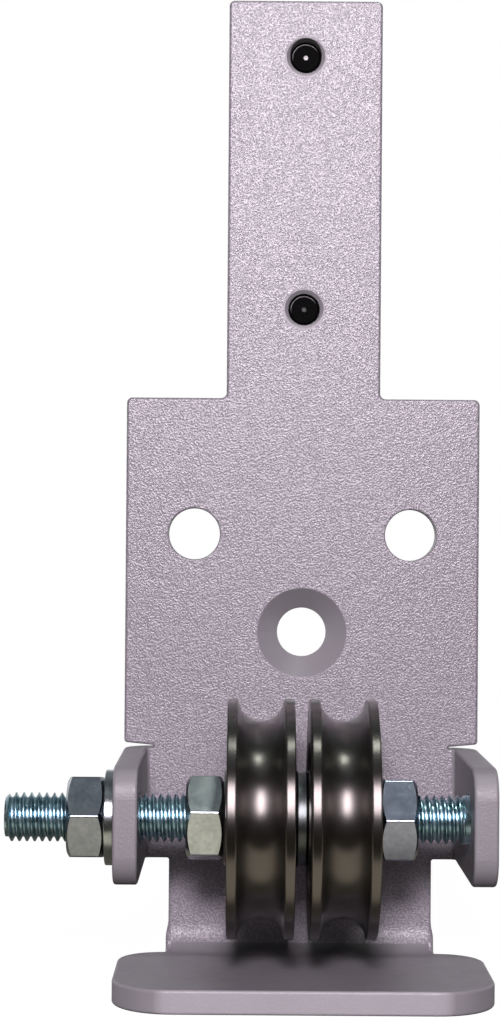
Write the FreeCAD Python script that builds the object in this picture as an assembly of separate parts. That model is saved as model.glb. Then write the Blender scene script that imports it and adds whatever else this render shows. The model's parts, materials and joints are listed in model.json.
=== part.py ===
import FreeCAD, Part
import math
import os

from FreeCAD import Vector

# Diverter pulley: a folded sheet bracket that carries two grooved ball-bearing rollers on a screw axle.
# Millimetres. X runs along the axle, +Y points into the wall and +Z is up.
# The origin lies on the plate's rear face, midway between the two fixing holes.

# Folded sheet
sheet = 4.0
edge_round = 0.5
hole_round = 0.3
outline_round = 1.0

# Tongue and mounting plate
tongue_width = 27.0
tongue_length = 70.0
plate_width = 62.0
plate_height = 60.5
hole_drop = 23.9
fixing_spacing = 38.0
fixing_hole_d = 9.0
sunk_hole_drop = 17.2
sunk_hole_d = 8.6
sunk_rim_d = 15.6

# Ears, neck and foot
ear_bend_inner = 0.8
ear_slit = 0.85
ear_slit_tip = 0.36
ear_slit_overrun = 0.3
ear_slit_corner = 0.6
ear_height = 19.35
ear_corner = 5.0
ear_margin = 10.0
neck_inset = 3.2
neck_corner = 0.4
neck_flare = 0.45
neck_flare_height = 2.0
neck_flare_round = 6.0
foot_bend_inner = 1.6
foot_cove = 4.4
foot_relief = 0.4
foot_width = 62.8
foot_depth = 33.4
foot_corner = 10.0

# Axle screw and its hardware
axle_d = 8.0
axle_drop = 9.15
axle_overrun = 10.2
axle_tip_chamfer = 0.8
axle_hole_play = 0.4
head_d = 15.6
head_rim = 0.2
head_play = 0.1
head_socket_flats = 5.0
head_socket_depth = 2.5
nut_flats = 13.0
nut_height = 6.2
nut_face_d = 11.8
nut_chamfer_deg = 30.0
nut_mouth_d = 8.7
nut_corner_round = 0.45
thread_play = 0.03
washer_d = 15.6
washer_thick = 1.6
washer_play = 0.2
washer_round = 0.2

# Angle of each nut's foremost corner above the axle, in degrees
end_nut_turn = 7.8
left_nut_turn = 13.8
right_nut_turn = 4.8

# Grooved rollers
roller_d = 39.2
roller_width = 11.0
roller_edge_round = 0.3
groove_lip_round = 0.4
groove_radius = 3.8
groove_depth = 3.6
plate_gap = 5.4
foot_gap = 6.6
stack_shift = -0.47

# Ball bearing inside each roller
bore_play = 0.03
ring_boss = 0.45
ring_wall = 3.0
ring_chamfer = 0.3
ball_d = 5.556
ball_count = 8
race_play = 0.04
race_depth = 0.8
cage_wall = 2.2
cage_back = 0.7
cage_horn = 1.5
cage_play = 0.15
shield_inset = 0.5
shield_thick = 0.4
shield_step = 0.3
shield_lap = 0.7
shield_play = 0.05
shield_gap = 0.3

# Set screws in the tongue
set_screw_inset = 9.9
set_screw_spacing = 44.4
set_screw_d = 5.36
set_screw_play = 0.02
set_screw_recess = 0.9
set_screw_point_d = 4.6
set_screw_dimple_d = 0.9
set_screw_socket_flats = 3.0
set_screw_socket_depth = 1.6
tapped_rim_d = 6.8

# Tolerances for telling points and edges apart
same_place = 1e-6
corner_cosine = 0.5

# Places that follow from the sizes
ear_bend_outer = ear_bend_inner + sheet
foot_bend_outer = foot_bend_inner + sheet
plate_half = plate_width / 2
tongue_half = tongue_width / 2
fold_start = plate_half - ear_bend_outer
neck_half = fold_start - neck_inset
root_half = neck_half + neck_flare
foot_half = foot_width / 2
foot_rear_corner = foot_half - root_half - foot_relief
roller_r = roller_d / 2
axle_r = axle_d / 2

shoulder_z = hole_drop
tongue_top_z = shoulder_z + tongue_length
plate_bottom_z = shoulder_z - plate_height
ear_top_z = plate_bottom_z - ear_slit
ear_bottom_z = ear_top_z - ear_height
axle_z = ear_top_z - axle_drop
foot_top_z = axle_z - roller_r - foot_gap
foot_bottom_z = foot_top_z - sheet

axle_y = -(sheet + plate_gap + roller_r)
ear_front_y = axle_y - ear_margin
foot_rear_y = -(foot_bend_outer + foot_relief)
foot_front_y = foot_rear_y - foot_depth

ring_width = roller_width + 2 * ring_boss
roller_x = (washer_thick + ring_width) / 2
clamp_x = washer_thick / 2 + ring_width
end_nut_x = -(plate_half + washer_thick + nut_height)
axle_tip_x = end_nut_x - axle_overrun

ball_r = ball_d / 2
race_r = ball_r + race_play
pitch_r = axle_r + bore_play + ring_wall + race_r
inner_shoulder_r = pitch_r - race_r + race_depth
outer_shoulder_r = pitch_r + race_r - race_depth
shield_seat_r = outer_shoulder_r + shield_lap

X_AXIS = Vector(1, 0, 0)
Y_AXIS = Vector(0, 1, 0)
Z_AXIS = Vector(0, 0, 1)
ORIGIN = Vector(0, 0, 0)


def rounded_face(corners):
    """Face inside a closed outline of (point, radius) corners, each rounded by its own radius."""
    runs = []
    count = len(corners)
    for i, (point, radius) in enumerate(corners):
        before = (corners[i - 1][0] - point).normalize()
        after = (corners[(i + 1) % count][0] - point).normalize()
        if radius == 0:
            runs.append((point, None, point))
            continue
        half = before.getAngle(after) / 2
        back = radius / math.tan(half)
        middle = (before + after).normalize() * (radius / math.sin(half) - radius)
        runs.append((point + before * back, point + middle, point + after * back))
    edges = []
    for i, (start, middle, end) in enumerate(runs):
        if middle is not None:
            edges.append(Part.Arc(start, middle, end).toShape())
        following = runs[(i + 1) % count][0]
        if end.distanceToPoint(following) > same_place:
            edges.append(Part.LineSegment(end, following).toShape())
    return Part.Face(Part.Wire(edges))


def mirrored_outline(half):
    """Corners of one half of an outline, followed by their mirror images across X = 0."""
    other = [(Vector(-p.x, p.y, p.z), r) for p, r in reversed(half)]
    return half + other


def arc(centre, radius, start_deg, end_deg, axis_u, axis_v):
    """Arc about a centre, with angles measured from axis_u towards axis_v."""

    def at(degrees):
        turn = math.radians(degrees)
        return centre + axis_u * (radius * math.cos(turn)) + axis_v * (radius * math.sin(turn))

    return Part.Arc(at(start_deg), at((start_deg + end_deg) / 2), at(end_deg)).toShape()


def line(start, end):
    return Part.LineSegment(start, end).toShape()


def turned(profile):
    """Solid of revolution about X from a closed list of (x, radius) points."""
    points = [Vector(x, r, 0) for x, r in profile]
    outline = Part.makePolygon(points + points[:1])
    return Part.Face(outline).revolve(ORIGIN, X_AXIS, 360)


def circles(shape, smallest_r):
    """Circular edges of a turned shape whose radius is larger than smallest_r."""
    found = [e for e in shape.Edges if e.Curve.TypeId == "Part::GeomCircle"]
    return [e for e in found if e.Curve.Radius > smallest_r + same_place]


def hexagon(flats, x, length, corner_deg):
    """Hexagonal prism along X from x, with a corner turned up by corner_deg from the front, -Y."""
    radius = flats / math.sqrt(3)
    corners = []
    for i in range(6):
        turn = math.radians(corner_deg + 60 * i)
        corners.append(Vector(x, -radius * math.cos(turn), radius * math.sin(turn)))
    return Part.Face(Part.makePolygon(corners + corners[:1])).extrude(X_AXIS * length)


def on_axle(shape):
    return shape.translated(Vector(0, axle_y, axle_z))


def along_y(shape, x, z):
    """Stand a shape that was made about the X axis on Y instead, through (x, z)."""
    return shape.rotated(ORIGIN, Z_AXIS, 90).translated(Vector(x, 0, z))


def mirrored(shape):
    return shape.mirror(ORIGIN, X_AXIS)


def in_stack(shape):
    """Place a piece of the clamped roller stack, which sits a little off the middle of the axle."""
    return on_axle(shape.translated(X_AXIS * stack_shift))


def sharp_edges(solid):
    """Edges where two faces meet at a corner rather than run into each other."""
    found = []
    for edge in solid.Edges:
        faces = solid.ancestorsOfType(edge, Part.Face)
        if len(faces) != 2:
            continue
        middle = edge.valueAt((edge.FirstParameter + edge.LastParameter) / 2)
        normals = [face.normalAt(*face.Surface.parameter(middle)) for face in faces]
        if abs(normals[0].dot(normals[1])) < corner_cosine:
            found.append(edge)
    return found


def flat_blank():
    """Tongue, plate, ear roots and neck, which stay in the plane of the sheet."""
    y = -sheet
    slit_end = fold_start - ear_slit_overrun
    foot_fold_z = foot_bottom_z + foot_bend_outer
    flare_z = foot_fold_z + neck_flare_height / 2
    half = [
        (Vector(tongue_half, y, tongue_top_z), outline_round),
        (Vector(tongue_half, y, shoulder_z), outline_round),
        (Vector(plate_half, y, shoulder_z), outline_round),
        (Vector(plate_half, y, plate_bottom_z), ear_slit_corner),
        (Vector(slit_end, y, ear_top_z + ear_slit_tip), ear_slit_tip / 2),
        (Vector(slit_end, y, ear_top_z), ear_slit_tip / 2),
        (Vector(fold_start, y, ear_top_z), 0),
        (Vector(fold_start, y, ear_bottom_z), 0),
        (Vector(neck_half, y, ear_bottom_z), neck_corner),
        (Vector(neck_half, y, flare_z + neck_flare_height), neck_flare_round),
        (Vector(root_half, y, flare_z), neck_flare_round),
        (Vector(root_half, y, foot_fold_z), 0),
    ]
    return rounded_face(mirrored_outline(half)).extrude(Y_AXIS * sheet)


def right_ear():
    """Fold and ear at the plate's right side, with rounded front corners."""
    centre = Vector(fold_start, -ear_bend_outer, ear_bottom_z)
    outer_front = Vector(plate_half, ear_front_y, ear_bottom_z)
    inner_front = outer_front - X_AXIS * sheet
    outer_fold = centre + X_AXIS * ear_bend_outer
    inner_fold = centre + X_AXIS * ear_bend_inner
    outline = Part.Wire([
        arc(centre, ear_bend_outer, 90, 0, X_AXIS, Y_AXIS),
        line(outer_fold, outer_front),
        line(outer_front, inner_front),
        line(inner_front, inner_fold),
        arc(centre, ear_bend_inner, 0, 90, X_AXIS, Y_AXIS),
        line(centre + Y_AXIS * ear_bend_inner, centre + Y_AXIS * ear_bend_outer),
    ])
    ear = Part.Face(outline).extrude(Z_AXIS * ear_height)
    corners = []
    for edge in ear.Edges:
        at_front = abs(edge.CenterOfMass.y - ear_front_y) < same_place
        if at_front and edge.BoundBox.XLength > sheet / 2:
            corners.append(edge)
    return ear.makeFillet(ear_corner, corners)


def foot():
    """Fold at the neck's lower end and the foot in front of it."""
    centre = Vector(-root_half, -foot_bend_outer, foot_bottom_z + foot_bend_outer)
    fold_outline = Part.Wire([
        arc(centre, foot_bend_outer, 0, -90, Y_AXIS, Z_AXIS),
        line(centre - Z_AXIS * foot_bend_outer, centre - Z_AXIS * foot_bend_inner),
        arc(centre, foot_bend_inner, -90, 0, Y_AXIS, Z_AXIS),
        line(centre + Y_AXIS * foot_bend_inner, centre + Y_AXIS * foot_bend_outer),
    ])
    fold = Part.Face(fold_outline).extrude(X_AXIS * (2 * root_half))
    half = [
        (Vector(root_half, -foot_bend_outer, foot_bottom_z), 0),
        (Vector(root_half, foot_rear_y, foot_bottom_z), foot_relief),
        (Vector(foot_half, foot_rear_y, foot_bottom_z), foot_rear_corner),
        (Vector(foot_half, foot_front_y, foot_bottom_z), foot_corner),
    ]
    pad = rounded_face(mirrored_outline(half)).extrude(Z_AXIS * sheet)
    return fold.fuse(pad)


def cove():
    """Rounded filling of the inner corner between neck and foot, short of the neck's edges."""
    half = neck_half - edge_round
    corner = Vector(-half, -sheet, foot_top_z)
    outline = Part.Wire([
        arc(corner + (Z_AXIS - Y_AXIS) * foot_cove, foot_cove, -90, 0, Y_AXIS, Z_AXIS),
        line(corner + Z_AXIS * foot_cove, corner),
        line(corner, corner - Y_AXIS * foot_cove),
    ])
    return Part.Face(outline).extrude(X_AXIS * (2 * half))


def round_hole(diameter, x, z):
    return along_y(Part.makeCylinder(diameter / 2, 3 * sheet, Vector(-2 * sheet, 0, 0), X_AXIS), x, z)


def sunk_hole():
    """Countersunk hole, 90 degrees, open to the plate's front."""
    depth = (sunk_rim_d - sunk_hole_d) / 2
    cone = turned([
        (-sheet - depth, 0),
        (-sheet - depth, sunk_rim_d / 2 + depth),
        (-sheet + depth, sunk_hole_d / 2),
        (-sheet + depth, 0),
    ])
    z = -sunk_hole_drop
    return round_hole(sunk_hole_d, 0, z).fuse(along_y(cone, 0, z))


def tapped_hole(z):
    """Tapped hole at its pitch diameter, with a chamfer at the front."""
    radius = set_screw_d / 2 + set_screw_play
    depth = tapped_rim_d / 2 - radius
    mouth = turned([
        (-sheet - depth, 0),
        (-sheet - depth, radius + 2 * depth),
        (-sheet + depth, radius),
        (-sheet + depth, 0),
    ])
    return round_hole(2 * radius, 0, z).fuse(along_y(mouth, 0, z))


def axle_holes():
    """Plain hole through both ears, with a seat for the screw's head in the right ear."""
    hole_r = axle_r + axle_hole_play
    reach = plate_half + sheet
    seat_r = head_d / 2 + head_play
    cone_start = plate_half - head_rim
    cone_end = cone_start - (seat_r - hole_r)
    plain = Part.makeCylinder(hole_r, 2 * reach, Vector(-reach, 0, 0), X_AXIS)
    seat = turned([(cone_end, 0), (cone_end, hole_r), (cone_start, seat_r), (reach, seat_r), (reach, 0)])
    return on_axle(plain.fuse(seat))


def set_screw_heights():
    upper = tongue_top_z - set_screw_inset
    return upper, upper - set_screw_spacing


def bracket():
    ear = right_ear()
    folded = flat_blank().multiFuse([ear, mirrored(ear), foot()]).removeSplitter()
    rounded = folded.makeFillet(edge_round, sharp_edges(folded))
    cuts = [axle_holes(), sunk_hole()]
    cuts += [round_hole(fixing_hole_d, side * fixing_spacing / 2, 0) for side in (-1, 1)]
    cuts += [tapped_hole(z) for z in set_screw_heights()]
    drilled = rounded.fuse(cove()).removeSplitter().cut(cuts).Solids[0]
    rims = []
    for edge in circles(drilled, tapped_rim_d / 2):
        on_front = abs(edge.CenterOfMass.y + sheet) < same_place
        if on_front and edge.isClosed():
            rims.append(edge)
    return drilled.makeFillet(hole_round, rims)


def axle_screw():
    """Countersunk screw from the right ear's outer face to past the end nut."""
    head_r = head_d / 2
    cone_start = plate_half - head_rim
    body = turned([
        (plate_half, 0),
        (plate_half, head_r),
        (cone_start, head_r),
        (cone_start - (head_r - axle_r), axle_r),
        (axle_tip_x + axle_tip_chamfer, axle_r),
        (axle_tip_x, axle_r - axle_tip_chamfer),
        (axle_tip_x, 0),
    ])
    socket_x = plate_half - head_socket_depth
    socket = hexagon(head_socket_flats, socket_x, 2 * head_socket_depth, 0)
    return body.cut(socket)


def nut(x, corner_deg):
    """Hexagon nut from x to x + nut_height, chamfered on both faces."""
    bore_r = axle_r + thread_play
    mouth_r = nut_mouth_d / 2
    mouth = mouth_r - bore_r
    corner_r = nut_flats / math.sqrt(3)
    fall = (corner_r - nut_face_d / 2) * math.tan(math.radians(nut_chamfer_deg))
    end = x + nut_height
    envelope = turned([
        (x, mouth_r),
        (x, nut_face_d / 2),
        (x + fall, corner_r),
        (end - fall, corner_r),
        (end, nut_face_d / 2),
        (end, mouth_r),
        (end - mouth, bore_r),
        (x + mouth, bore_r),
    ])
    prism = hexagon(nut_flats, x, nut_height, corner_deg)
    corners = [e for e in prism.Edges if e.BoundBox.XLength > nut_height / 2]
    return prism.makeFillet(nut_corner_round, corners).common(envelope)


def washer(x):
    """Flat washer from x to x + washer_thick, with rounded outer rims."""
    bore_r = axle_r + washer_play
    disc = turned([
        (x, bore_r),
        (x, washer_d / 2),
        (x + washer_thick, washer_d / 2),
        (x + washer_thick, bore_r),
    ])
    return disc.makeFillet(washer_round, circles(disc, bore_r))


def grooved_ring():
    """Outer ring of the right roller: rope groove outside, ball race and shield seats inside."""
    half = roller_width / 2
    seat = half - shield_inset - shield_thick
    blank = turned([
        (roller_x - half, shield_seat_r),
        (roller_x - half, roller_r),
        (roller_x + half, roller_r),
        (roller_x + half, shield_seat_r),
        (roller_x + seat, shield_seat_r),
        (roller_x + seat, outer_shoulder_r),
        (roller_x - seat, outer_shoulder_r),
        (roller_x - seat, shield_seat_r),
    ])
    groove_r = roller_r - groove_depth + groove_radius
    wall_top = max(roller_r, groove_r) + groove_radius
    groove = Part.makeTorus(groove_r, groove_radius, Vector(roller_x, 0, 0), X_AXIS)
    walls = turned([
        (roller_x - groove_radius, groove_r),
        (roller_x - groove_radius, wall_top),
        (roller_x + groove_radius, wall_top),
        (roller_x + groove_radius, groove_r),
    ])
    grooved = blank.makeFillet(roller_edge_round, circles(blank, shield_seat_r)).cut([groove, walls])
    lips = [e for e in circles(grooved, shield_seat_r) if abs(e.CenterOfMass.x - roller_x) < groove_radius]
    return grooved.makeFillet(groove_lip_round, lips).cut(ball_race())


def ball_race():
    return Part.makeTorus(pitch_r, race_r, Vector(roller_x, 0, 0), X_AXIS)


def inner_ring():
    """Inner ring of the right roller, clamped between the spacer washer and the nut."""
    near = washer_thick / 2
    bore_r = axle_r + bore_play
    blank = turned([
        (near, bore_r + ring_chamfer),
        (near, inner_shoulder_r - ring_chamfer),
        (near + ring_chamfer, inner_shoulder_r),
        (clamp_x - ring_chamfer, inner_shoulder_r),
        (clamp_x, inner_shoulder_r - ring_chamfer),
        (clamp_x, bore_r + ring_chamfer),
        (clamp_x - ring_chamfer, bore_r),
        (near + ring_chamfer, bore_r),
    ])
    return blank.cut(ball_race())


def ball_centres():
    turns = [2 * math.pi * i / ball_count for i in range(ball_count)]
    return [Vector(roller_x, pitch_r * math.cos(t), pitch_r * math.sin(t)) for t in turns]


def balls():
    return Part.makeCompound([Part.makeSphere(ball_r, c) for c in ball_centres()])


def ball_cage():
    """Crown cage: a ring beside the balls with horns that reach between them."""
    pocket_r = ball_r + cage_play
    blank = turned([
        (roller_x - cage_horn, pitch_r - cage_wall / 2),
        (roller_x - cage_horn, pitch_r + cage_wall / 2),
        (roller_x + pocket_r + cage_back, pitch_r + cage_wall / 2),
        (roller_x + pocket_r + cage_back, pitch_r - cage_wall / 2),
    ])
    middle = Vector(roller_x, 0, 0)
    pockets = [Part.makeSphere(pocket_r, centre, centre - middle) for centre in ball_centres()]
    return blank.cut(pockets)


def shield(side):
    """Pressed steel shield in one face of the right roller, stepped in towards the balls."""
    face = roller_x + side * (roller_width / 2 - shield_inset)
    back = face - side * shield_thick
    step = side * shield_step
    rim_r = shield_seat_r - shield_play
    middle_r = pitch_r
    return turned([
        (face, rim_r),
        (face, middle_r),
        (face - step, middle_r - shield_step),
        (face - step, inner_shoulder_r + shield_gap),
        (back - step, inner_shoulder_r + shield_gap),
        (back - step, middle_r),
        (back, middle_r + shield_step),
        (back, rim_r),
    ])


def set_screw(z):
    """Set screw: flat point with a centre dimple at the front, hexagon socket flush with the rear face."""
    tip = -sheet + set_screw_recess
    radius = set_screw_d / 2
    point_r = set_screw_point_d / 2
    dimple_r = set_screw_dimple_d / 2
    body = turned([
        (0, 0),
        (0, radius),
        (tip + radius - point_r, radius),
        (tip, point_r),
        (tip, dimple_r),
        (tip + dimple_r / 2, 0),
    ])
    socket = hexagon(set_screw_socket_flats, -set_screw_socket_depth, 2 * set_screw_socket_depth, 0)
    return along_y(body.cut(socket), 0, z)


def roller_pieces():
    """Pieces of the right roller by their plain names."""
    return {
        "grooved_ring": grooved_ring(),
        "inner_ring": inner_ring(),
        "balls": balls(),
        "ball_cage": ball_cage(),
        "nut_side_shield": shield(1),
        "spacer_side_shield": shield(-1),
    }


def all_pieces():
    upper_z, lower_z = set_screw_heights()
    pieces = {
        "bracket": bracket(),
        "axle_screw": on_axle(axle_screw()),
        "end_nut": on_axle(nut(end_nut_x, end_nut_turn)),
        "end_washer": on_axle(washer(-(plate_half + washer_thick))),
        "left_clamp_nut": in_stack(nut(-clamp_x - nut_height, left_nut_turn)),
        "right_clamp_nut": in_stack(nut(clamp_x, right_nut_turn)),
        "spacer_washer": in_stack(washer(-washer_thick / 2)),
        "upper_set_screw": set_screw(upper_z),
        "lower_set_screw": set_screw(lower_z),
    }
    for name, shape in roller_pieces().items():
        pieces["right_" + name] = in_stack(shape)
        pieces["left_" + name] = in_stack(mirrored(shape))
    return pieces


os.makedirs("parts", exist_ok=True)
for node, shape in all_pieces().items():
    shape.exportStep("parts/" + node + ".step")
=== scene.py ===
import json
import math

import bmesh
import bpy
from mathutils import Matrix, Vector


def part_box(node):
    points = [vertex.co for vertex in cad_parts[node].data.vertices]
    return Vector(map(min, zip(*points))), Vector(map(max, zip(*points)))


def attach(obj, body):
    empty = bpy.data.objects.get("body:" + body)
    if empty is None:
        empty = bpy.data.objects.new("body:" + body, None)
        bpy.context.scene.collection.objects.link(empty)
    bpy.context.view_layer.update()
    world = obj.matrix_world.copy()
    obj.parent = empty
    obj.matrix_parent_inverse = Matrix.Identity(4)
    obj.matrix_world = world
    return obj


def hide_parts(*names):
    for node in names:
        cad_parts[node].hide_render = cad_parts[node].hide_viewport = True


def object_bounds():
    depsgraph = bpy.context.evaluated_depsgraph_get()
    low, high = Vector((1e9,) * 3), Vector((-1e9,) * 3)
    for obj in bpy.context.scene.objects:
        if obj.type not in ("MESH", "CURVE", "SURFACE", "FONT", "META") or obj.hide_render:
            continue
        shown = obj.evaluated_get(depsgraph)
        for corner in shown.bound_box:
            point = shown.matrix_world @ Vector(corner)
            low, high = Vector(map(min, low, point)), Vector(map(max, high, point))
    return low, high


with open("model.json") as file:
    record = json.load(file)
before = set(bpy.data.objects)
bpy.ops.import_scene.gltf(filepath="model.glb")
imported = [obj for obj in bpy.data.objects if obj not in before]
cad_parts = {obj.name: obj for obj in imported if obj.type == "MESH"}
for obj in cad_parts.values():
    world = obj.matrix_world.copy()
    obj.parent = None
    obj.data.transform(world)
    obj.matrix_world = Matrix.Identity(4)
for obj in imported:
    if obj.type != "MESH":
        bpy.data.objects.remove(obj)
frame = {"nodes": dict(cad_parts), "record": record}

# Looks of the diverter pulley. Lengths are in metres, and MM turns a named millimetre into one.
cad_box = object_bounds()
MM = 0.001
UP = Vector((0.0, 0.0, 1.0))

# Camera, fitted to the photograph's frame of 500 x 1018 pixels
IMAGE_HEIGHT_PX = 1018
FOCAL_PX = 2279.4
SENSOR_MM = 36.0
CAMERA_AT = Vector((-10.1, -404.0, 1.0)) * MM
CAMERA_YAW = math.radians(0.123)
CAMERA_PITCH = math.radians(0.493)
CAMERA_ROLL = math.radians(0.437)
CLIP_NEAR = 1.0 * MM
CLIP_FAR = 20000 * MM

# Axle screw, M8 coarse
THREAD_R = 4.0 * MM
PITCH = 1.25 * MM
THREAD_DEPTH = 0.767 * MM
THREAD_PHASE = 0.55
TIP_CHAMFER = 0.8 * MM
RUN_OUT = 0.8 * MM
COLLAR = 4.75 * MM
HEAD_RIM = 0.2 * MM
SOCKET_FLATS = 5.0 * MM
SOCKET_DEPTH = 2.5 * MM

# One pitch of the thread: share of the pitch, share of the depth
THREAD_PROFILE = (
    (0.0, 0.0),
    (0.125, 0.0),
    (0.28, 0.5),
    (0.4375, 0.97),
    (0.5625, 1.0),
    (0.6875, 0.97),
    (0.845, 0.5),
)

# Mesh of the screw: points round it, how near two points are one, and from which angle an edge is crisp
COLUMNS = 48
SAME_PLACE = 0.0002 * MM
SHARP_ANGLE = math.radians(50)

# Most values of a noise lie between these
NOISE_LOW = 0.3
NOISE_HIGH = 0.7

# Bracket: its sheet, where its ears start to fold, how far its countersink is dull, and its tapped rims
SHEET = 4.0 * MM
FOLD_START = 26.2 * MM
SUNK_DULL_R = 7.6 * MM
TAPPED_RIM_R = 3.4 * MM

# Set screws: how far the painted shadow reaches above each one, and how far the painted highlight arc below
# is raised
SEAT_SHADOW_RISE = {"upper_set_screw": 0.55 * MM, "lower_set_screw": 0.0}
HIGHLIGHT_ARC_RISE = 0.7 * MM

# Relief of the coat, and the turn that keeps its grain from lining up with the plate
RELIEF = 0.17 * MM
GRAIN_TURN = (0.5, 0.3, 0.7)

# Each blend of the coat has a start and an end. Along Y, from the plate's front face and from its rear face
FACE_BLEND = (-0.12 * MM, -0.04 * MM)
COVE_BLEND = (-1.2 * MM, -1.0 * MM)
REAR_BLEND = (-0.6 * MM, -0.2 * MM)

# Outwards, from the start of an ear's fold, the rim of a sunk hole and the wall of a fixing hole
FOLD_BLEND = (-0.1 * MM, 0.3 * MM)
RIM_BLEND = (0.0, 0.5 * MM)
WALL_BLEND = (0.02 * MM, 0.1 * MM)

# Outwards, from a set screw's side for the black next to it, and from the rim of its tapped hole for the
# painted highlight arc
BLACK_BLEND = (0.02 * MM, 0.17 * MM)
HIGHLIGHT_ARC_INNER_BLEND = (-0.1 * MM, 0.5 * MM)
HIGHLIGHT_ARC_OUTER_BLEND = (0.8 * MM, 1.2 * MM)

# Upwards from the foot's top, and rearwards from its front
FOOT_BLEND = (0.8 * MM, 3.8 * MM)
BEND_BLEND = (6.8 * MM, 8.8 * MM)
FRONT_BLEND = (0.0, 0.5 * MM)

# Upwards from the axle
EAR_BLEND = (-10.4 * MM, 2.6 * MM)
NECK_BLEND = (-5.4 * MM, 4.6 * MM)
HIDDEN_BLEND = (-11.4 * MM, -3.4 * MM)

# Outwards from the middle, where the painted shadow on the foot's top ends beside the rollers and where the
# neck's gloss comes back, and rearwards from the rear of the rollers, where that painted shadow deepens
FOOT_SIDE_BLEND = (11.0 * MM, 20.0 * MM)
NECK_SIDE_BLEND = (12.5 * MM, 15.5 * MM)
ROLLER_REAR_BLEND = (-2.6 * MM, 1.4 * MM)

# Waves per metre of the marks left by turning and by grinding, along X, Y and Z
TURNED_MARKS = (9000.0, 120.0, 120.0)
GROUND_MARKS = (6000.0, 200.0, 200.0)

# Painted highlights on a set screw's end, as shares of its width: the glint spot, the line round the end,
# the lit side of that line, and its centre
GLINT_BLEND = (0.06, 0.085)
LINE_INNER_BLEND = (0.41, 0.425)
LINE_OUTER_BLEND = (0.435, 0.45)
LIT_SIDE = (-0.35, 0.0, 0.94)
LIT_SIDE_BLEND = (0.3, 0.6)
END_CENTRE = (0.5, 0.0, 0.5)

# Colours of the painted highlights on the black: the lit line, a bright glint spot and a dim one
LINE_HIGHLIGHT = (0.3, 0.29, 0.3)
BRIGHT_GLINT = (0.8, 0.76, 0.76)
DIM_GLINT = (0.13, 0.13, 0.13)

# Floor: its reach, its gap under the foot, where the shadow fades, and the painted pool of light that it
# mirrors, which fades to a painted shadow just before the foot
FLOOR_REACH = 4000 * MM
FLOOR_GAP = 0.02 * MM
SHADOW_FADE = (100 * MM, 500 * MM)
POOL_FRONT = (-69 * MM, -62 * MM)
POOL_REAR = (-29 * MM, -22 * MM)

# Room that mirrored rays see, by the rearward and the upward part of their direction
REAR_WALL = (0.1, 0.7)
WALL_TOP = (0.15, 0.6)
CEILING = (0.76, 0.9)
CEILING_REAR = (-0.45, 0.0)

# Points that the lamps aim at, in millimetres
PLATE_MM = (0, 0, 20)
REAR_FACE_MM = (0, 0, 10)
ROLLERS_MM = (0, -29, -46)

# Colours of light
WHITE = (1.0, 1.0, 1.0)
ROSE = (1.0, 0.91, 0.98)
PALE_ROSE = (1.0, 0.96, 0.99)
PALE_GREEN = (0.94, 1.0, 0.92)
PALE_BLUE = (0.97, 0.98, 1.0)
SKY_BLUE = (0.85, 0.95, 1.0)
AMBER = (1.0, 0.92, 0.76)


class Skin:
    """Vertices and faces of one piece, gathered ring by ring."""

    def __init__(self):
        self.points = []
        self.faces = []

    def ring(self, points):
        start = len(self.points)
        self.points += points
        return list(range(start, start + len(points)))

    def bridge(self, ring_a, ring_b):
        for i, a in enumerate(ring_a):
            j = (i + 1) % len(ring_a)
            self.faces.append((a, ring_a[j], ring_b[j], ring_b[i]))

    def cap(self, ring, centre):
        hub = self.ring([centre])[0]
        for i, a in enumerate(ring):
            self.faces.append((a, ring[(i + 1) % len(ring)], hub))

    def build(self, name):
        """Mesh object with coincident points merged and sharp edges left crisp."""
        mesh = bpy.data.meshes.new(name)
        mesh.from_pydata(self.points, [], self.faces)
        work = bmesh.new()
        work.from_mesh(mesh)
        bmesh.ops.remove_doubles(work, verts=work.verts, dist=SAME_PLACE)
        bmesh.ops.recalc_face_normals(work, faces=work.faces)
        for face in work.faces:
            face.smooth = True
        for edge in work.edges:
            edge.smooth = edge.calc_face_angle(0.0) < SHARP_ANGLE
        work.to_mesh(mesh)
        work.free()
        piece = bpy.data.objects.new(name, mesh)
        bpy.context.scene.collection.objects.link(piece)
        return piece


def hexagon_radius(flats, angle):
    """Distance from a hexagon's centre to its outline, with a corner at angle 0."""
    side = math.radians(60)
    return flats / 2 / math.cos(angle % side - side / 2)


def mount(name):
    """Mount of this name in the part's record."""
    return next(m for m in frame["record"]["mounts"] if m["name"] == name)


def middle(node):
    """Centre of a CAD node's box."""
    low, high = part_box(node)
    return (low + high) / 2


def radius(node):
    """Half the height of a round CAD node."""
    low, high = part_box(node)
    return (high.z - low.z) / 2


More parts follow.
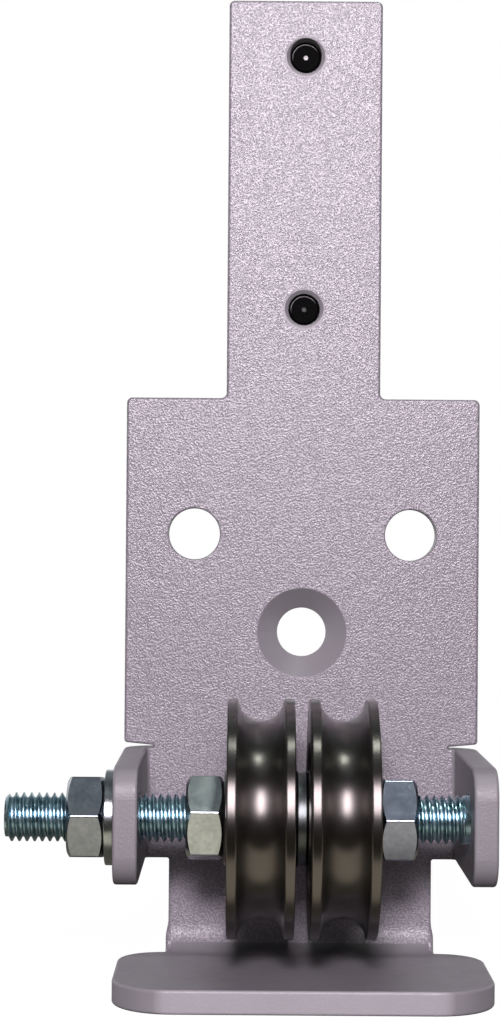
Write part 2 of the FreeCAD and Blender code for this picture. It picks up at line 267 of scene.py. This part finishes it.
class AxleScrew:
    """Countersunk screw with a helical thread, in the place of the CAD axle."""

    def __init__(self):
        low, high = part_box("axle_screw")
        self.tip_x = low.x
        self.head_x = high.x
        self.centre = middle("axle_screw")
        self.head_r = radius("axle_screw")
        self.cone_x = self.head_x - HEAD_RIM - (self.head_r - THREAD_R)
        self.collar_x = self.head_x - COLLAR
        self.skin = Skin()

    def at(self, x, distance, angle):
        """Point about the axle: angle 0 is the front, and it turns right-handed about +X."""
        y = self.centre.y - distance * math.cos(angle)
        z = self.centre.z - distance * math.sin(angle)
        return (x, y, z)

    def circle(self, x, distance):
        turns = [math.tau * j / COLUMNS for j in range(COLUMNS)]
        return self.skin.ring([self.at(x, distance, t) for t in turns])

    def thread_point(self, along, depth_share, column):
        turn = math.tau * column / COLUMNS
        x = along + PITCH * column / COLUMNS
        if x >= self.collar_x:
            return self.at(self.collar_x, THREAD_R, turn)
        fade = min((self.collar_x - x) / RUN_OUT, 1.0)
        tip_r = THREAD_R - TIP_CHAMFER
        x = max(x, self.tip_x)
        distance = THREAD_R - THREAD_DEPTH * depth_share * fade
        return self.at(x, min(distance, tip_r + x - self.tip_x), turn)

    def thread(self):
        """Helical rows from before the tip to past the collar; what lies beyond falls onto the ends."""
        start = self.tip_x - (2 - THREAD_PHASE) * PITCH
        turns = math.ceil((self.collar_x - start) / PITCH) + 1
        rows = []
        for turn in range(turns):
            for share, depth in THREAD_PROFILE:
                along = start + (turn + share) * PITCH
                rows.append(self.skin.ring([self.thread_point(along, depth, j) for j in range(COLUMNS)]))
        lead = len(THREAD_PROFILE)
        last = COLUMNS - 1
        for i in range(len(rows) - 1):
            here, after = rows[i], rows[i + 1]
            for j in range(last):
                self.skin.faces.append((here[j], here[j + 1], after[j + 1], after[j]))
            if i + 1 + lead < len(rows):
                self.skin.faces.append((here[last], rows[i + lead][0], rows[i + 1 + lead][0], after[last]))
        self.skin.cap(rows[0], self.at(self.tip_x, 0.0, 0.0))
        return rows[-1]

    def head(self, collar):
        """Collar, countersunk head and hexagon socket."""
        socket_x = self.head_x - SOCKET_DEPTH
        rings = [collar]
        rings.append(self.circle(self.cone_x, THREAD_R))
        rings.append(self.circle(self.head_x - HEAD_RIM, self.head_r))
        rings.append(self.circle(self.head_x, self.head_r))
        for x in (self.head_x, socket_x):
            points = []
            for j in range(COLUMNS):
                turn = math.tau * j / COLUMNS
                points.append(self.at(x, hexagon_radius(SOCKET_FLATS, turn), turn))
            rings.append(self.skin.ring(points))
        for ring_a, ring_b in zip(rings, rings[1:]):
            self.skin.bridge(ring_a, ring_b)
        self.skin.cap(rings[-1], self.at(socket_x, 0.0, 0.0))

    def build(self):
        self.head(self.thread())
        return self.skin.build("threaded_axle_screw")


class Nodes:
    """Short calls for building a node tree."""

    def __init__(self, tree):
        self.tree = tree

    def add(self, kind, **inputs):
        node = self.tree.nodes.new(kind)
        for name, value in inputs.items():
            self.feed(node.inputs[name], value)
        return node

    def feed(self, socket, value):
        if isinstance(value, bpy.types.NodeSocket):
            self.tree.links.new(value, socket)
        elif socket.type == "RGBA":
            socket.default_value = (*value, 1.0)
        else:
            socket.default_value = value

    def axis(self, vector, name):
        return self.add("ShaderNodeSeparateXYZ", Vector=vector).outputs[name]

    def vector(self, operation, result, *values):
        node = self.add("ShaderNodeVectorMath")
        node.operation = operation
        for socket, value in zip(node.inputs, values):
            self.feed(socket, value)
        return node.outputs[result]

    def math(self, operation, a, b):
        node = self.add("ShaderNodeMath")
        node.operation = operation
        self.feed(node.inputs[0], a)
        self.feed(node.inputs[1], b)
        return node.outputs["Value"]

    def times(self, first, *others):
        """Product of all the values."""
        product = first
        for value in others:
            product = self.math("MULTIPLY", product, value)
        return product

    def larger(self, a, b):
        """The larger of two values."""
        return self.math("MAXIMUM", a, b)

    def remainder(self, share):
        """What a share leaves of 1."""
        return self.math("SUBTRACT", 1.0, share)

    def span(self, value, low, high, to_low, to_high):
        """Value taken smoothly from low..high to to_low..to_high, and held at the ends."""
        node = self.add("ShaderNodeMapRange", Value=value)
        node.interpolation_type = "SMOOTHSTEP"
        for name, number in zip(("From Min", "From Max", "To Min", "To Max"), (low, high, to_low, to_high)):
            node.inputs[name].default_value = number
        return node.outputs["Result"]

    def edge(self, value, place, blend, to_low, to_high):
        """Span whose start and end lie as far from a place as the blend says."""
        return self.span(value, place + blend[0], place + blend[1], to_low, to_high)

    def spread(self, noise, to_low, to_high):
        """Span over the usual values of a noise."""
        return self.span(noise, NOISE_LOW, NOISE_HIGH, to_low, to_high)

    def mix(self, share, colour_a, colour_b):
        node = self.add("ShaderNodeMix", Factor=share)
        node.data_type = "RGBA"
        colours = [s for s in node.inputs if s.type == "RGBA"]
        for socket, colour in zip(colours, (colour_a, colour_b)):
            self.feed(socket, colour)
        return [s for s in node.outputs if s.type == "RGBA"][0]

    def blend(self, share, shader_a, shader_b):
        node = self.add("ShaderNodeMixShader", Fac=share)
        for socket, shader in zip(node.inputs[1:], (shader_a, shader_b)):
            self.feed(socket, shader.outputs[0])
        return node.outputs["Shader"]

    def rays(self, *kinds):
        """1 for rays of the named kinds and 0 for the others."""
        path = self.add("ShaderNodeLightPath")
        share = path.outputs[kinds[0]]
        for kind in kinds[1:]:
            share = self.larger(share, path.outputs[kind])
        return share


class Shader(Nodes):
    """Node tree of one surface material."""

    def __init__(self, name):
        self.material = bpy.data.materials.new(name)
        self.material.use_nodes = True
        super().__init__(self.material.node_tree)
        self.bsdf = self.tree.nodes["Principled BSDF"]
        self.place = self.add("ShaderNodeTexCoord").outputs["Object"]

    def set(self, name, value):
        self.feed(self.bsdf.inputs[name], value)

    def noise(self, size, detail=2.0, place=None):
        """Noise whose lumps are about size across."""
        node = self.add("ShaderNodeTexNoise", Vector=place or self.place, Scale=1.0 / size, Detail=detail)
        return node.outputs["Fac"]

    def scaled(self, vector, factor):
        """Vector or colour times a number or, part by part, times another one."""
        return self.vector("MULTIPLY", "Vector", vector, factor)

    def beside(self, centre):
        """Distance from a line along Y through a centre."""
        flat = self.scaled(self.place, (1.0, 0.0, 1.0))
        return self.vector("DISTANCE", "Value", flat, (centre[0], 0.0, centre[2]))

    def bump(self, height, distance, strength, layer="Normal"):
        node = self.add("ShaderNodeBump", Height=height, Strength=strength, Distance=distance)
        self.set(layer, node.outputs["Normal"])


class PowderCoat(Shader):
    """Grey structured powder coat: pebbled and glossy on plate, tongue and neck, dull on ears and foot,
    with painted light and shade on the dull stretches.
    """

    def __init__(self):
        super().__init__("powder_coat")
        foot_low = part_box("bracket")[0]
        x, self.y, self.z = (self.axis(self.place, name) for name in "XYZ")
        self.out = self.math("ABSOLUTE", x, 0.0)
        self.axle_z = middle("axle_screw").z
        self.roller_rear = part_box("left_grooved_ring")[1].y
        self.foot_top = foot_low.z + SHEET
        self.above_foot = self.edge(self.z, self.foot_top, FOOT_BLEND, 0.0, 1.0)
        self.foot_front = self.edge(self.y, foot_low.y, FRONT_BLEND, 1.0, 0.0)
        turned = self.add("ShaderNodeMapping", Vector=self.place, Rotation=GRAIN_TURN)
        self.grain = self.noise(0.31 * MM, detail=1.0, place=turned.outputs["Vector"])
        self.peel = self.noise(1.6 * MM, detail=1.0)

    def pebbled(self):
        """1 on plate, tongue and neck; 0 on ears, foot, sunk holes and the walls of fixing holes."""
        between_ears = self.edge(self.out, FOLD_START, FOLD_BLEND, 1.0, 0.0)
        flat = self.larger(between_ears, self.edge(self.y, -SHEET, FACE_BLEND, 0.0, 1.0))
        flat = self.times(flat, self.edge(self.y, -SHEET, COVE_BLEND, 0.0, 1.0))
        rear = self.edge(self.y, 0.0, REAR_BLEND, 0.0, 1.0)
        sinks = [(mount("countersunk_hole")["pos_m"], SUNK_DULL_R)]
        sinks += [(middle(screw), TAPPED_RIM_R) for screw in SEAT_SHADOW_RISE]
        for centre, rim_r in sinks:
            clear = self.edge(self.beside(centre), rim_r, RIM_BLEND, 0.0, 1.0)
            flat = self.times(flat, self.larger(clear, rear))
        holes = mount("fixing_holes")["dims"]
        for side in (-1, 1):
            centre = (side * holes["spacing_x_mm"] / 2 * MM, 0.0, 0.0)
            clear = self.edge(self.beside(centre), holes["hole_r_mm"] * MM, WALL_BLEND, 0.0, 1.0)
            flat = self.times(flat, clear)
        return flat

    def seat_shade(self, screw, shadow_rise):
        """Painted shade round a set screw: black next to it, a painted shadow above it, and a painted
        highlight arc below.
        """
        shade = 1.0
        # Black next to the screw, and a painted shadow reaching shadow_rise above it.
        for rise in (0.0, shadow_rise):
            off_axis = self.beside(middle(screw) + rise * UP)
            shade = self.times(shade, self.edge(off_axis, radius(screw), BLACK_BLEND, 0.05, 1.0))
        # Painted highlight: a paler arc on the lower part of the seat, where it faces up.
        off_highlight_arc = self.beside(middle(screw) + HIGHLIGHT_ARC_RISE * UP)
        inner = self.edge(off_highlight_arc, TAPPED_RIM_R, HIGHLIGHT_ARC_INNER_BLEND, 0.0, 0.6)
        outer = self.edge(off_highlight_arc, TAPPED_RIM_R, HIGHLIGHT_ARC_OUTER_BLEND, 1.0, 0.0)
        return self.times(shade, self.math("ADD", 1.0, self.times(inner, outer)))

    def calm_shade(self):
        """Painted light and shade on the dull stretches: ears darker downwards, the foot's front lighter
        than its top, a shadow on the foot's top under the rollers, and the set screws' seats.
        """
        # Painted shade: the ears darker downwards.
        ears = self.times(self.above_foot, self.edge(self.z, self.axle_z, EAR_BLEND, 0.82, 1.0))
        # Painted shadow on the foot's top under and behind the rollers, and the foot's front painted
        # lighter than its top.
        beside = self.edge(self.out, 0.0, FOOT_SIDE_BLEND, 0.68, 1.02)
        beside = self.times(beside, self.edge(self.y, self.roller_rear, ROLLER_REAR_BLEND, 1.0, 0.78))
        top = self.times(self.remainder(self.foot_front), beside)
        foot = self.math("ADD", self.times(self.foot_front, 1.48), top)
        shade = self.math("ADD", ears, self.times(foot, self.remainder(self.above_foot)))
        for screw, shadow_rise in SEAT_SHADOW_RISE.items():
            shade = self.times(shade, self.seat_shade(screw, shadow_rise))
        return shade

    def gloss(self, flat):
        """Weight of the glossy skin: less on the neck, least behind the rollers, thin on the ears."""
        bend = self.edge(self.z, self.foot_top, BEND_BLEND, 1.0, 0.4)
        neck = self.larger(self.edge(self.z, self.axle_z, NECK_BLEND, 0.4, 1.0), bend)
        beside = self.edge(self.out, 0.0, NECK_SIDE_BLEND, 0.25, 1.0)
        hidden = self.larger(beside, self.edge(self.z, self.axle_z, HIDDEN_BLEND, 0.0, 1.0))
        skin = self.times(flat, neck, hidden, self.span(self.grain, 0.4, 0.6, 0.54, 0.96))
        thin = self.times(self.larger(self.above_foot, self.foot_front), 0.3)
        return self.larger(skin, thin)

    def build(self):
        flat = self.pebbled()
        relief = self.math("ADD", self.times(self.grain, 0.85), self.times(self.peel, 0.15))
        self.bump(relief, RELIEF, self.span(flat, 0.0, 1.0, 0.1, 0.85))
        self.bump(relief, RELIEF, 0.74, layer="Coat Normal")
        speck = self.span(self.grain, 0.38, 0.62, 0.0, 1.0)
        fine = self.mix(speck, (0.228, 0.217, 0.25), (0.352, 0.318, 0.363))
        calm = self.mix(self.noise(9.0 * MM), (0.302, 0.29, 0.312), (0.342, 0.328, 0.352))
        self.set("Base Color", self.mix(flat, self.scaled(calm, self.calm_shade()), fine))
        self.set("Roughness", self.spread(self.peel, 0.52, 0.6))
        self.set("Specular IOR Level", 0.3)
        self.set("Coat Weight", self.gloss(flat))
        self.set("Coat Roughness", 0.37)
        self.set("Coat IOR", 1.9)
        return self.material


def zinc_plate(name, level=1.0, blue=1.0, rough=0.2):
    """Zinc plate on the nuts and washers, cloudy and finely scuffed, as bright, blue and rough as given."""
    s = Shader(name)
    mottle = s.noise(2.2 * MM, detail=5.0)
    fine = s.noise(0.25 * MM)
    scuff = s.spread(s.noise(0.8 * MM, detail=3.0), 0.92 * level, 1.08 * level)
    tone = s.mix(s.spread(mottle, 0.0, 1.0), (0.335, 0.365, 0.375), (0.405, 0.435, 0.44))
    s.set("Base Color", s.scaled(s.scaled(tone, (1.0, 1.0, blue)), scuff))
    s.set("Metallic", 1.0)
    s.set("Roughness", s.spread(mottle, rough, 1.15 * rough))
    s.bump(fine, 0.004 * MM, 0.5)
    return s.material


def blue_zinc():
    """Blue-passivated zinc on the threaded axle."""
    s = Shader("blue_zinc")
    mottle = s.noise(1.4 * MM, detail=3.0)
    s.set("Base Color", s.mix(s.spread(mottle, 0.0, 1.0), (0.21, 0.335, 0.385), (0.385, 0.525, 0.58)))
    s.set("Metallic", 1.0)
    s.set("Roughness", s.spread(mottle, 0.26, 0.34))
    return s.material


def dark_steel():
    """Dark polished steel of the grooved rings, with faint turning marks."""
    s = Shader("dark_steel")
    marks = s.noise(1.0, place=s.scaled(s.place, TURNED_MARKS))
    cloud = s.noise(4.0 * MM, detail=3.0)
    s.set("Base Color", s.mix(cloud, (0.128, 0.118, 0.112), (0.155, 0.143, 0.136)))
    s.set("Metallic", 1.0)
    s.set("Roughness", s.spread(cloud, 0.315, 0.33))
    s.set("Anisotropic", 0.78)
    s.set("Anisotropic Rotation", 0.25)
    around = s.add("ShaderNodeTangent")
    around.direction_type = "RADIAL"
    around.axis = "X"
    s.set("Tangent", around.outputs["Tangent"])
    s.bump(marks, 0.002 * MM, 0.4)
    return s.material


def ground_steel():
    """Ground steel of the inner rings and balls, kept dark."""
    s = Shader("ground_steel")
    marks = s.noise(1.0, place=s.scaled(s.place, GROUND_MARKS))
    s.set("Base Color", s.mix(marks, (0.09, 0.085, 0.08), (0.16, 0.155, 0.15)))
    s.set("Metallic", 1.0)
    s.set("Roughness", s.spread(marks, 0.22, 0.36))
    return s.material


def pressed_steel():
    """Pressed bearing shields."""
    s = Shader("pressed_steel")
    cloud = s.noise(1.5 * MM, detail=4.0)
    s.set("Base Color", s.mix(cloud, (0.13, 0.13, 0.125), (0.22, 0.22, 0.21)))
    s.set("Metallic", 1.0)
    s.set("Roughness", s.spread(cloud, 0.25, 0.4))
    return s.material


def cage_polymer():
    """Moulded ball cages."""
    s = Shader("cage_polymer")
    cloud = s.noise(0.8 * MM, detail=3.0)
    s.set("Base Color", s.mix(cloud, (0.62, 0.56, 0.44), (0.70, 0.64, 0.52)))
    s.set("Roughness", s.spread(cloud, 0.45, 0.6))
    return s.material


def black_oxide(name, glint_colour):
    """Black set screws, with a painted highlight on the upper part of the line round the end face and a
    painted glint spot in its centre dimple.
    """
    s = Shader(name)
    cloud = s.noise(0.5 * MM, detail=4.0)
    share = s.add("ShaderNodeTexCoord").outputs["Generated"]
    flat = s.scaled(share, (1.0, 0.0, 1.0))
    out = s.vector("DISTANCE", "Value", flat, END_CENTRE)
    black = s.mix(cloud, (0.002, 0.002, 0.0022), (0.005, 0.005, 0.0052))
    # Painted glint on the centre dimple, and a painted highlight along the upper part of the line round the
    # end.
    glint = s.span(out, *GLINT_BLEND, 1.0, 0.0)
    line = s.times(s.span(out, *LINE_INNER_BLEND, 0.0, 1.0), s.span(out, *LINE_OUTER_BLEND, 1.0, 0.0))
    upper = s.vector("DOT_PRODUCT", "Value", flat, LIT_SIDE)
    lit_line = s.times(line, s.span(upper, *LIT_SIDE_BLEND, 0.0, 1.0))
    s.set("Base Color", s.mix(glint, s.mix(lit_line, black, LINE_HIGHLIGHT), glint_colour))
    s.set("Roughness", s.spread(cloud, 0.62, 0.8))
    s.set("Specular IOR Level", 0.03)
    s.bump(cloud, 0.01 * MM, 0.4)
    return s.material


def dress_nodes():
    """Give every CAD node the material of its slot, and a few of them copies with painted light and shade
    of their own.
    """
    materials = {
        "coated_steel": PowderCoat().build(),
        "zinc": zinc_plate("zinc_plate"),
        "roller_steel": dark_steel(),
        "bearing_steel": ground_steel(),
        "shield_steel": pressed_steel(),
        "cage_polymer": cage_polymer(),
        "black_steel": black_oxide("black_oxide", BRIGHT_GLINT),
    }
    for part in frame["record"]["subparts"]:
        node = frame["nodes"][part["node"]]
        node.data.materials.clear()
        node.data.materials.append(materials[part["material_slot"]])
    # Lit and shaded copies of the zinc, as painted light and shade: the left clamp nut brighter, the right
    # clamp nut and the end nut darker and bluer, the spacer washer darkest as painted shade between the
    # rollers.
    zinc_light_and_shade = {
        "left_clamp_nut": {"level": 1.4},
        "right_clamp_nut": {"level": 0.9, "blue": 1.22},
        "end_nut": {"level": 0.85, "blue": 1.1},
        "spacer_washer": {"level": 0.42, "rough": 0.32},
    }
    for name, light_and_shade in zinc_light_and_shade.items():
        frame["nodes"][name].data.materials[0] = zinc_plate(name + "_zinc", **light_and_shade)
    # The lower set screw gets a copy with a dimmer painted glint.
    dim_glint_oxide = black_oxide("dim_glint_black_oxide", DIM_GLINT)
    frame["nodes"]["lower_set_screw"].data.materials[0] = dim_glint_oxide


def floor_white():
    """White to the camera with the object's shadow, a painted warm pool of light to mirrored rays that
    fades to a painted shadow before the foot, dark to bounced light.
    """
    material = bpy.data.materials.new("floor_white")
    material.use_nodes = True
    material.node_tree.nodes.clear()
    n = Nodes(material.node_tree)
    place = n.add("ShaderNodeTexCoord").outputs["Object"]
    away = n.vector("LENGTH", "Value", place)
    ahead = n.axis(place, "Y")
    seen = n.rays("Is Camera Ray")
    mirrored = n.rays("Is Glossy Ray", "Is Transmission Ray")
    # Painted pool of light for mirrored rays, fading at its rear edge into a painted shadow before the
    # foot.
    pool = n.times(n.span(ahead, *POOL_FRONT, 0.06, 0.78), n.span(ahead, *POOL_REAR, 1.0, 0.2))
    white = n.times(seen, n.span(away, *SHADOW_FADE, 1.06, 1.0))
    glow = n.add("ShaderNodeEmission", Color=n.mix(mirrored, WHITE, AMBER), Strength=n.larger(white, pool))
    plain = n.add("ShaderNodeBsdfDiffuse", Color=n.mix(seen, (0.03, 0.03, 0.03), WHITE))
    shown = n.times(seen, n.span(away, *SHADOW_FADE, 0.92, 1.0))
    output = n.add("ShaderNodeOutputMaterial")
    n.feed(output.inputs["Surface"], n.blend(n.larger(shown, mirrored), plain, glow))
    return material


def build_floor():
    """Square floor just under the foot."""
    low, high = cad_box
    square = [(-1, -1), (1, -1), (1, 1), (-1, 1)]
    mesh = bpy.data.meshes.new("floor")
    mesh.from_pydata([(x * FLOOR_REACH, y * FLOOR_REACH, 0.0) for x, y in square], [], [(0, 1, 2, 3)])
    mesh.materials.append(floor_white())
    floor = bpy.data.objects.new("floor", mesh)
    floor.location = (0.0, (low[1] + high[1]) / 2, low[2] - FLOOR_GAP)
    bpy.context.scene.collection.objects.link(floor)


def build_world():
    """White backdrop; mirrored rays see it too, with a dimmer room in front and a cool ceiling."""
    world = bpy.data.worlds.new("studio")
    world.use_nodes = True
    bpy.context.scene.world = world
    world.node_tree.nodes.clear()
    n = Nodes(world.node_tree)
    direction = n.add("ShaderNodeTexCoord").outputs["Generated"]
    height = n.axis(direction, "Z")
    depth = n.axis(direction, "Y")
    room = n.times(n.span(depth, *REAR_WALL, 0.05, 1.0), n.span(height, *WALL_TOP, 1.0, 0.3))
    ceiling = n.times(n.span(height, *CEILING, 0.0, 0.3), n.span(depth, *CEILING_REAR, 1.0, 0.4))
    seen = n.rays("Is Camera Ray")
    tint = n.mix(seen, n.mix(n.span(height, *WALL_TOP, 0.0, 1.0), WHITE, SKY_BLUE), WHITE)
    level = n.larger(seen, n.math("ADD", room, ceiling))
    white = n.add("ShaderNodeBackground", Color=tint, Strength=level)
    fill = n.add("ShaderNodeBackground", Color=PALE_BLUE, Strength=0.002)
    shown = n.rays("Is Camera Ray", "Is Glossy Ray", "Is Transmission Ray")
    output = n.add("ShaderNodeOutputWorld")
    n.feed(output.inputs["Surface"], n.blend(shown, fill, white))


def add_lamp(name, place_mm, aim_mm, size_mm, power, colour):
    """Round or oval area lamp that the camera doesn't see, turned towards its aim."""
    lamp = bpy.data.lights.new(name, "AREA")
    lamp.shape = "ELLIPSE"
    lamp.size, lamp.size_y = Vector(size_mm) * MM
    lamp.energy = power
    lamp.color = colour
    holder = bpy.data.objects.new(name, lamp)
    holder.location = Vector(place_mm) * MM
    aim = Vector(aim_mm) * MM - holder.location
    holder.rotation_euler = aim.to_track_quat("-Z", "Y").to_euler()
    holder.visible_camera = False
    bpy.context.scene.collection.objects.link(holder)
    return holder


def build_lights():
    """A key lamp above the camera, one behind each side, and two lamps that only add highlights."""
    key = add_lamp(
        "key", place_mm=(-30, -600, 204), aim_mm=PLATE_MM,
        size_mm=(110, 110), power=3.75, colour=ROSE)
    shapers = [key]
    for side in (-1, 1):
        place_mm = (side * 520, 420, 10)
        rear = add_lamp(
            "rear", place_mm, aim_mm=REAR_FACE_MM,
            size_mm=(240, 240), power=2.6, colour=PALE_ROSE)
        shapers.append(rear)
    for lamp in shapers:
        lamp.visible_glossy = False
    diffuser = add_lamp(
        "diffuser", place_mm=(5, -601, 232), aim_mm=PLATE_MM,
        size_mm=(360, 320), power=4.6, colour=ROSE)
    overhead = add_lamp(
        "overhead", place_mm=(60, -94, 300), aim_mm=ROLLERS_MM,
        size_mm=(60, 60), power=0.22, colour=PALE_GREEN)
    for lamp in (diffuser, overhead):
        lamp.visible_diffuse = False


def build_camera():
    """Camera at the photograph's viewing angle, built from its yaw, pitch and roll."""
    forward = Vector((math.sin(CAMERA_YAW), math.cos(CAMERA_YAW), 0.0))
    level = Vector((math.cos(CAMERA_YAW), -math.sin(CAMERA_YAW), 0.0))
    pitched_up = UP * math.cos(CAMERA_PITCH) - forward * math.sin(CAMERA_PITCH)
    forward = forward * math.cos(CAMERA_PITCH) + UP * math.sin(CAMERA_PITCH)
    right = level * math.cos(CAMERA_ROLL) + pitched_up * math.sin(CAMERA_ROLL)
    top = pitched_up * math.cos(CAMERA_ROLL) - level * math.sin(CAMERA_ROLL)

    data = bpy.data.cameras.new("camera")
    data.sensor_fit = "AUTO"
    data.sensor_width = SENSOR_MM
    data.lens = FOCAL_PX * SENSOR_MM / IMAGE_HEIGHT_PX
    data.clip_start = CLIP_NEAR
    data.clip_end = CLIP_FAR
    camera = bpy.data.objects.new("camera", data)
    turn = Matrix((right, top, -forward)).transposed()
    camera.matrix_world = Matrix.Translation(CAMERA_AT) @ turn.to_4x4()
    bpy.context.scene.collection.objects.link(camera)
    bpy.context.scene.camera = camera


dress_nodes()

axle = AxleScrew().build()
axle.data.materials.append(blue_zinc())
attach(axle, "bracket")
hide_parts("axle_screw")

build_floor()
build_world()
build_lights()
build_camera()

bpy.context.scene.view_settings.view_transform = "Standard"
